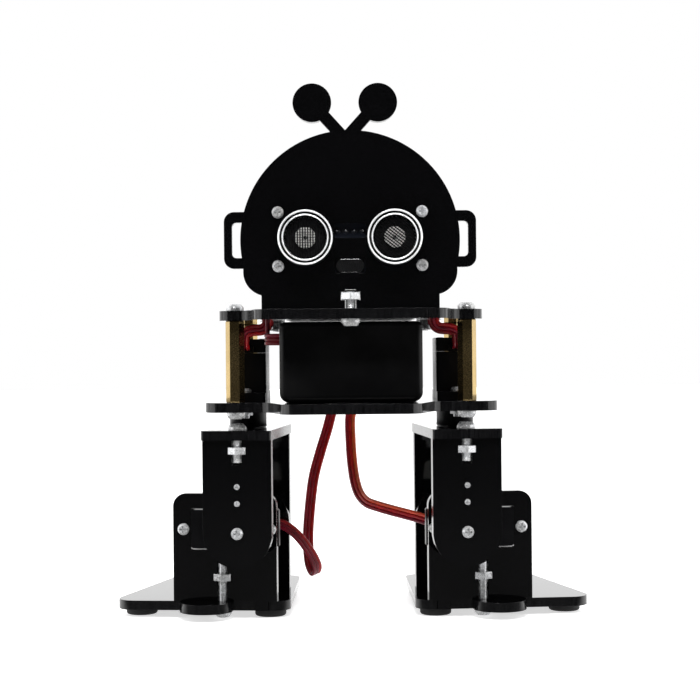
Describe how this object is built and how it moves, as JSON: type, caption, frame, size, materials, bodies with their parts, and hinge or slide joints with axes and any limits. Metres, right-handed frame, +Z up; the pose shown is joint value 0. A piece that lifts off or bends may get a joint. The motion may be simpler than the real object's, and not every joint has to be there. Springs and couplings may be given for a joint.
{
  "type": "humanoid robot kit",
  "caption": "Small two-legged walking robot of black laser-cut acrylic: round head plate with sonar eyes and antennae, decks on brass standoffs, hip and ankle servos, broad feet.",
  "frame": {"origin": "on the ground under the foot pads, midway between the vertical hip axes", "axes": "+Z up, +Y to the robot's back, +X to the right as the robot's face is looked at"},
  "size_m": [0.1504, 0.106, 0.1631],
  "materials": {
    "acrylic": "polished",
    "brass": "turned",
    "steel": "zinc plated",
    "can": "satin",
    "mesh": "anodised",
    "crystal": "bright",
    "pcb": "solder mask",
    "servo_case": "moulded",
    "horn": "moulded",
    "rubber": "matt",
    "case": "moulded",
    "cell": "sleeved",
    "contact": "nickel",
    "lead": "insulation",
    "header": "moulded",
    "usb": "plain",
    "knob": "moulded",
    "button": "moulded"
  },
  "bodies": {
    "chassis": {"ankle_leads": "lead", "battery_case": "case", "battery_cells": "cell", "battery_contacts": "contact", "battery_lead": "lead", "battery_lid": "case", "board_standoffs": "brass", "bottom_plate": "acrylic", "control_board": "pcb", "controller_module": "pcb", "frame_nuts": "steel", "frame_screws": "steel", "head_plate": "acrylic", "hip_leads": "lead", "hip_servo_cases": "servo_case", "hip_servo_covers": "servo_case", "hip_servo_screws": "steel", "pin_headers": "header", "sonar_board": "pcb", "sonar_cans": "can", "sonar_crystal": "crystal", "sonar_lead": "lead", "sonar_meshes": "mesh", "sonar_screws": "steel", "standoffs": "brass", "switch_housing": "header", "top_plate": "acrylic", "usb_socket": "usb"},
    "switch_knob": {"switch_knob": "knob"},
    "reset_button": {"reset_button": "button"},
    "right_leg": {"right_leg_top_plate": "acrylic", "right_front_shin": "acrylic", "right_rear_shin": "acrylic", "right_servo_horns": "horn", "right_servo_splines": "servo_case", "right_leg_screws": "steel", "right_leg_nuts": "steel"},
    "right_foot": {"right_foot_plate": "acrylic", "right_front_bracket": "acrylic", "right_rear_bracket": "acrylic", "right_ankle_servo_case": "servo_case", "right_ankle_servo_cover": "servo_case", "right_foot_screws": "steel", "right_foot_nuts": "steel", "right_foot_pads": "rubber"},
    "left_leg": {"left_leg_top_plate": "acrylic", "left_front_shin": "acrylic", "left_rear_shin": "acrylic", "left_servo_horns": "horn", "left_servo_splines": "servo_case", "left_leg_screws": "steel", "left_leg_nuts": "steel"},
    "left_foot": {"left_foot_plate": "acrylic", "left_front_bracket": "acrylic", "left_rear_bracket": "acrylic", "left_ankle_servo_case": "servo_case", "left_ankle_servo_cover": "servo_case", "left_foot_screws": "steel", "left_foot_nuts": "steel", "left_foot_pads": "rubber"}
  },
  "joints": [
    {"name": "right_hip", "type": "hinge", "parent": "chassis", "child": "right_leg", "pos_m": [-0.0332, 0, 0.058], "axis": [0, 0, 1], "range_deg": [-12, 40], "deforming": ["ankle_leads"]},
    {"name": "left_hip", "type": "hinge", "parent": "chassis", "child": "left_leg", "pos_m": [0.0332, 0, 0.058], "axis": [0, 0, -1], "range_deg": [-12, 40], "deforming": ["ankle_leads"]},
    {"name": "right_ankle", "type": "hinge", "parent": "right_leg", "child": "right_foot", "pos_m": [-0.0332, 0, 0.0283], "axis": [-0.1045, -0.9945, 0], "range_deg": [-40, 20], "deforming": ["ankle_leads"]},
    {"name": "left_ankle", "type": "hinge", "parent": "left_leg", "child": "left_foot", "pos_m": [0.0332, 0, 0.0283], "axis": [-0.1045, 0.9945, 0], "range_deg": [-40, 20], "deforming": ["ankle_leads"]},
    {"name": "power_switch", "type": "slide", "parent": "chassis", "child": "switch_knob", "axis": [0, 1, 0], "range_m": [0, 0.002]},
    {"name": "reset_press", "type": "slide", "parent": "chassis", "child": "reset_button", "axis": [0, 0, -1], "range_m": [0, 0.0003]}
  ]
}
